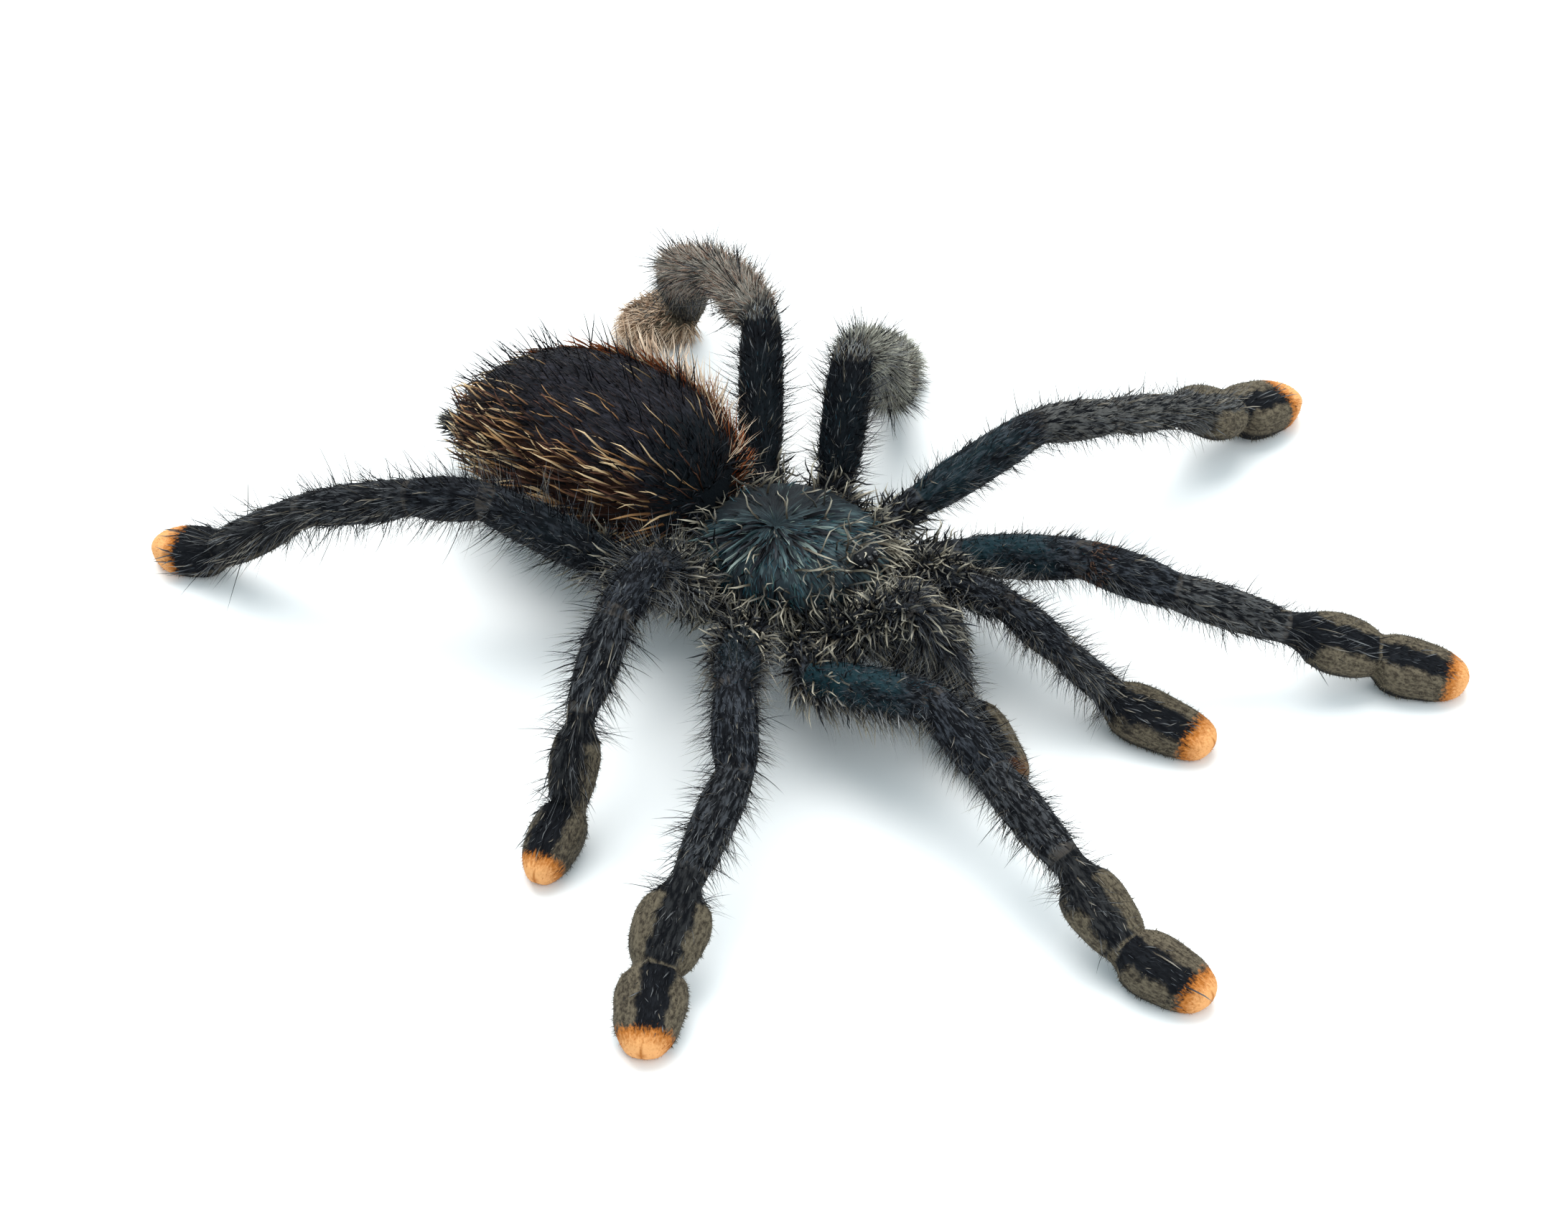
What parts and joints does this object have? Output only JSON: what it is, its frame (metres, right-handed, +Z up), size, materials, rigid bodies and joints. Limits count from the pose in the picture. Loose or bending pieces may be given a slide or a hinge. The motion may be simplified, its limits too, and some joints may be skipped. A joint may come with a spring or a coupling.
{
  "type": "tarantula specimen",
  "caption": "Dried pink-toed tarantula with a dome-shaped shield, an egg-shaped furry abdomen and bent legs with broad pale-tipped feet, standing on a flat surface for display or study.",
  "frame": {"origin": "middle of the bounding box's bottom, on the plane that the feet stand on", "axes": "+X to the picture's right, the longest side; +Y away from the viewer; +Z up. The head points 36.5 degrees from +X towards -Y"},
  "size_m": [0.1188, 0.1, 0.0198],
  "materials": {
    "carapace": "matt teal-grey skin with short pale hairs that fan out from the middle",
    "abdomen": "velvety black-brown fur under long golden and red-brown hairs",
    "spinneret": "short dark fur",
    "chelicera": "short dark fur with grey streaks",
    "palp": "black skin with a teal sheen, dark bristles and a peach-coloured tip",
    "leg": "black skin with a violet sheen, dark bristles, olive-brown foot pads and peach-coloured toe tips"
  },
  "bodies": {
    "root": {"cephalothorax": "carapace", "abdomen": "abdomen", "spinneret_left": "spinneret", "spinneret_right": "spinneret", "chelicera_left": "chelicera", "chelicera_right": "chelicera", "palp_left": "palp", "palp_right": "palp", "leg_1_left": "leg", "leg_2_left": "leg", "leg_3_left": "leg", "leg_4_left": "leg", "leg_1_right": "leg", "leg_2_right": "leg", "leg_3_right": "leg", "leg_4_right": "leg"}
  },
  "joints": []
}
